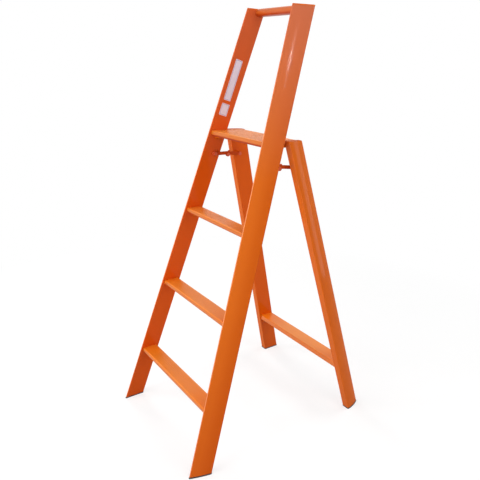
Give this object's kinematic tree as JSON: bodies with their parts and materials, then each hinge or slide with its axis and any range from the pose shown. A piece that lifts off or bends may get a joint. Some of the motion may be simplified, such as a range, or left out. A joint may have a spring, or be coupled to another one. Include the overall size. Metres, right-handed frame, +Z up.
{
  "type": "folding step ladder",
  "caption": "Folding step ladder with slim treads, a platform, a hand bar above it and a rear leg frame held open by toggle stays.",
  "frame": {"origin": "on the floor, midway between the front and rear feet and between the sides", "axes": "+Z up, -Y the side that is climbed, +X to the right of a person who faces that side"},
  "size_m": [0.514, 0.7079, 1.328],
  "materials": {
    "orange_coat": "satin orange powder coat",
    "rubber": "matt moulded rubber",
    "stay_steel": "reddish brown painted steel",
    "rivet_metal": "bare, slightly dull",
    "pin_steel": "turned",
    "nylon": "moulded"
  },
  "bodies": {
    "front_frame": {"stile_left": "orange_coat", "stile_right": "orange_coat", "stile_cap_left": "orange_coat", "stile_cap_right": "orange_coat", "stile_foot_left": "rubber", "stile_foot_right": "rubber", "lower_tread": "orange_coat", "middle_tread": "orange_coat", "upper_tread": "orange_coat", "lower_tread_bracket_left": "orange_coat", "lower_tread_bracket_right": "orange_coat", "middle_tread_bracket_left": "orange_coat", "middle_tread_bracket_right": "orange_coat", "upper_tread_bracket_left": "orange_coat", "upper_tread_bracket_right": "orange_coat", "tread_rivets": "orange_coat", "platform": "orange_coat", "platform_bracket_left": "orange_coat", "platform_bracket_right": "orange_coat", "platform_end_block_left": "orange_coat", "platform_end_block_right": "orange_coat", "hinge_bush_left": "nylon", "hinge_bush_right": "nylon", "platform_rivets": "orange_coat", "hand_bar": "orange_coat", "bar_plug_left": "orange_coat", "bar_plug_right": "orange_coat", "bar_bolts": "rivet_metal", "stay_stud_left": "stay_steel", "stay_stud_right": "stay_steel"},
    "rear_frame": {"leg_left": "orange_coat", "leg_right": "orange_coat", "leg_cap_left": "orange_coat", "leg_cap_right": "orange_coat", "leg_foot_left": "rubber", "leg_foot_right": "rubber", "rear_brace": "orange_coat", "brace_bracket_left": "orange_coat", "brace_bracket_right": "orange_coat", "brace_rivets": "orange_coat", "hinge_pin_left": "pin_steel", "hinge_pin_right": "pin_steel", "stay_boss_left": "orange_coat", "stay_boss_right": "orange_coat"},
    "stay_front_left": {"stay_front_link_left": "stay_steel", "stay_knuckle_rivet_left": "stay_steel"},
    "stay_rear_left": {"stay_rear_link_left": "stay_steel", "stay_end_rivet_left": "stay_steel"},
    "stay_front_right": {"stay_front_link_right": "stay_steel", "stay_knuckle_rivet_right": "stay_steel"},
    "stay_rear_right": {"stay_rear_link_right": "stay_steel", "stay_end_rivet_right": "stay_steel"}
  },
  "joints": [
    {"name": "leg_fold", "type": "hinge", "parent": "front_frame", "child": "rear_frame", "pos_m": [0, 0.03233, 0.95], "axis": [-1, 0, 0], "range_deg": [0, 32.8]},
    {"name": "stay_front_turn_left", "type": "hinge", "parent": "front_frame", "child": "stay_front_left", "pos_m": [-0.13719, -0.0439, 0.884], "axis": [1, 0, 0], "range_deg": [0, 56.42]},
    {"name": "stay_knuckle_turn_left", "type": "hinge", "parent": "stay_front_left", "child": "stay_rear_left", "pos_m": [-0.13719, 0.0039, 0.8795], "axis": [-1, 0, 0], "range_deg": [0, 115.96]},
    {"name": "stay_front_turn_right", "type": "hinge", "parent": "front_frame", "child": "stay_front_right", "pos_m": [0.13719, -0.0439, 0.884], "axis": [1, 0, 0], "range_deg": [0, 56.42]},
    {"name": "stay_knuckle_turn_right", "type": "hinge", "parent": "stay_front_right", "child": "stay_rear_right", "pos_m": [0.13719, 0.0039, 0.8795], "axis": [-1, 0, 0], "range_deg": [0, 115.96]}
  ],
  "couplings": [
    {"joint": "stay_front_turn_left", "follows": "leg_fold", "ratio": 1.717},
    {"joint": "stay_knuckle_turn_left", "follows": "leg_fold", "ratio": 3.5322},
    {"joint": "stay_front_turn_right", "follows": "leg_fold", "ratio": 1.717},
    {"joint": "stay_knuckle_turn_right", "follows": "leg_fold", "ratio": 3.5322}
  ]
}
